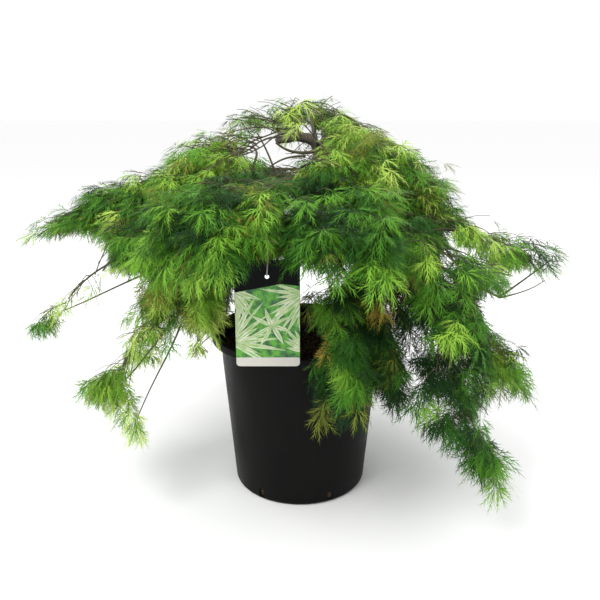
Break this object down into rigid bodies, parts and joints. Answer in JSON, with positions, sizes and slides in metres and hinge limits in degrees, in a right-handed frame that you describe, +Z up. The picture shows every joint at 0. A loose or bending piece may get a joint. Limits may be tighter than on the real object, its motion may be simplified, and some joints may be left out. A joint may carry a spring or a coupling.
{
  "type": "potted weeping cut-leaf maple",
  "caption": "Small weeping maple with finely cut green leaves on arching boughs, growing in a round black nursery pot with a hanging plant label.",
  "frame": {"origin": "centre of the pot's flat underside", "axes": "+Z up along the pot's axis, -Y towards the side that the label hangs on, +X to the right seen from there"},
  "size_m": [0.841, 0.6873, 0.6136],
  "materials": {
    "pot": "satin black moulded plastic",
    "soil": "dark brown bark compost, loose and rough",
    "card": "thin printed plastic card, pale leaves on green, blank cream foot",
    "tie": "thin whitish plastic tie",
    "bark": "grey-brown bark",
    "leaf": "fresh green leaves, from deep green to yellow-green"
  },
  "bodies": {
    "root": {"pot": "pot", "soil": "soil", "label-card": "card", "label-tie": "tie", "trunk": "bark", "bough-cap-left": "bark", "bough-cap-left-front": "bark", "bough-cap-left-back": "bark", "bough-cap-back": "bark", "bough-cap-right-back": "bark", "bough-cap-right": "bark", "bough-cap-front": "bark", "bough-wing-left": "bark", "bough-wing-left-front": "bark", "bough-wing-right-front": "bark", "bough-wing-right": "bark", "bough-wing-right-back": "bark", "bough-wing-back-right": "bark", "bough-wing-back-left": "bark", "bough-wing-left-back": "bark", "bough-brow-left": "bark", "bough-brow-right": "bark", "bough-hem-left": "bark", "bough-hem-left-front": "bark", "bough-hem-right-front": "bark", "bough-hem-right": "bark", "bough-hem-right-back": "bark", "bough-hem-back-right": "bark", "bough-hem-back": "bark", "bough-hem-back-left": "bark", "bough-fringe-left": "bark", "bough-fringe-right": "bark", "leaves-cap-left": "leaf", "leaves-cap-left-front": "leaf", "leaves-cap-left-back": "leaf", "leaves-cap-back": "leaf", "leaves-cap-right-back": "leaf", "leaves-cap-right": "leaf", "leaves-cap-front": "leaf", "leaves-wing-left": "leaf", "leaves-wing-left-front": "leaf", "leaves-wing-right-front": "leaf", "leaves-wing-right": "leaf", "leaves-wing-right-back": "leaf", "leaves-wing-back-right": "leaf", "leaves-wing-back-left": "leaf", "leaves-wing-left-back": "leaf", "leaves-brow-left": "leaf", "leaves-brow-right": "leaf", "leaves-hem-left": "leaf", "leaves-hem-left-front": "leaf", "leaves-hem-right-front": "leaf", "leaves-hem-right": "leaf", "leaves-hem-right-back": "leaf", "leaves-hem-back-right": "leaf", "leaves-hem-back": "leaf", "leaves-hem-back-left": "leaf", "leaves-fringe-left": "leaf", "leaves-fringe-right": "leaf"}
  },
  "joints": []
}
